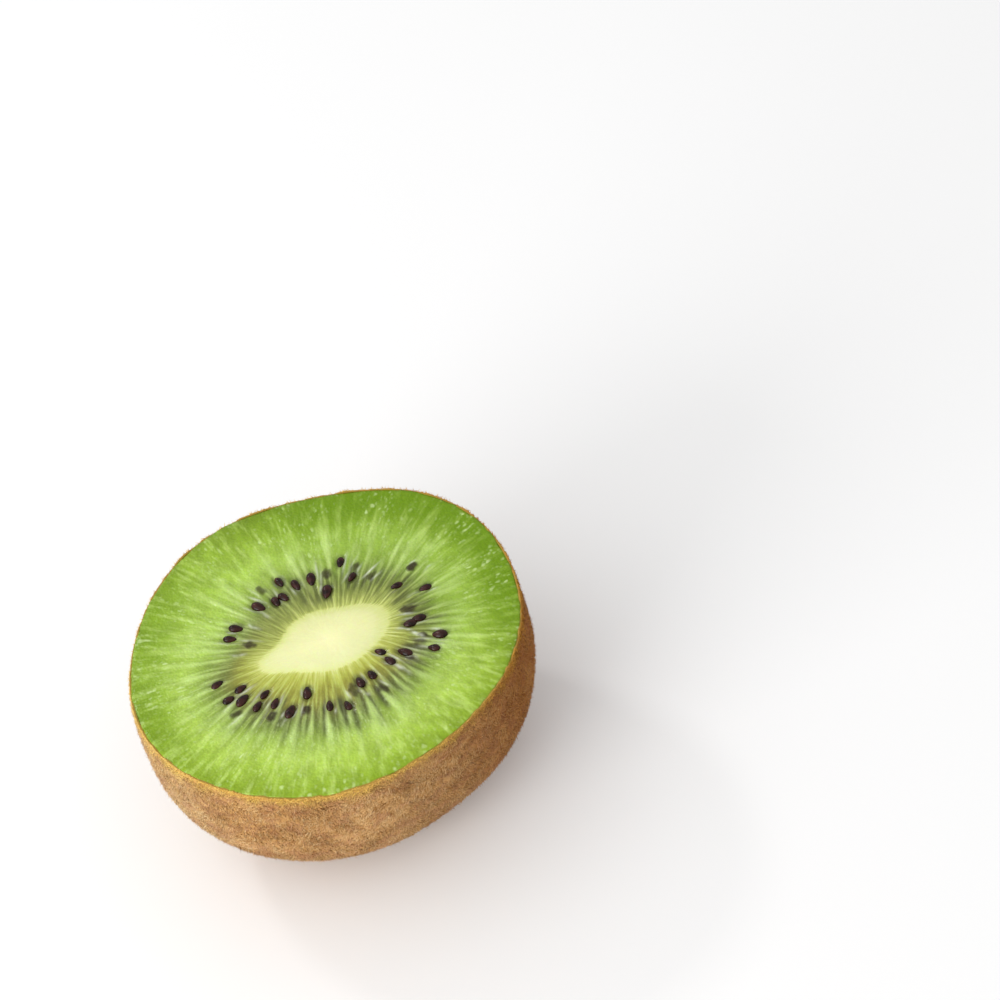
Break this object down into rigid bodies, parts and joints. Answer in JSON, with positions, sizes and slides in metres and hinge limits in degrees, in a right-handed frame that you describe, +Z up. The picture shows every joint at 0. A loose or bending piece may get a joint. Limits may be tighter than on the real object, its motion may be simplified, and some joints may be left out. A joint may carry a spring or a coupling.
{
  "type": "kiwi fruit half",
  "caption": "Half of a kiwi fruit, cut straight across: fuzzy brown skin, green flesh, a pale oval core and a ring of small dark seeds, standing on its stem end with the cut face up.",
  "frame": {"origin": "middle of the small flat spot under the stem end, on the surface that the half stands on", "axes": "+Z up, out of the cut face; +X along the wider way across the cut face; +Y along the narrower way"},
  "size_m": [0.0522, 0.0491, 0.0289],
  "materials": {
    "flesh": "wet green fruit flesh, fine-grained, with pale threads running out from the core",
    "core": "smooth moist cream-yellow core",
    "seed": "glossy, nearly black with a purple-brown cast",
    "skin": "thin dull brown skin with short stiff hairs",
    "stem_end": "dry woody stem button and shrivelled sepals"
  },
  "bodies": {
    "root": {"kiwi_half": "flesh"}
  },
  "joints": []
}
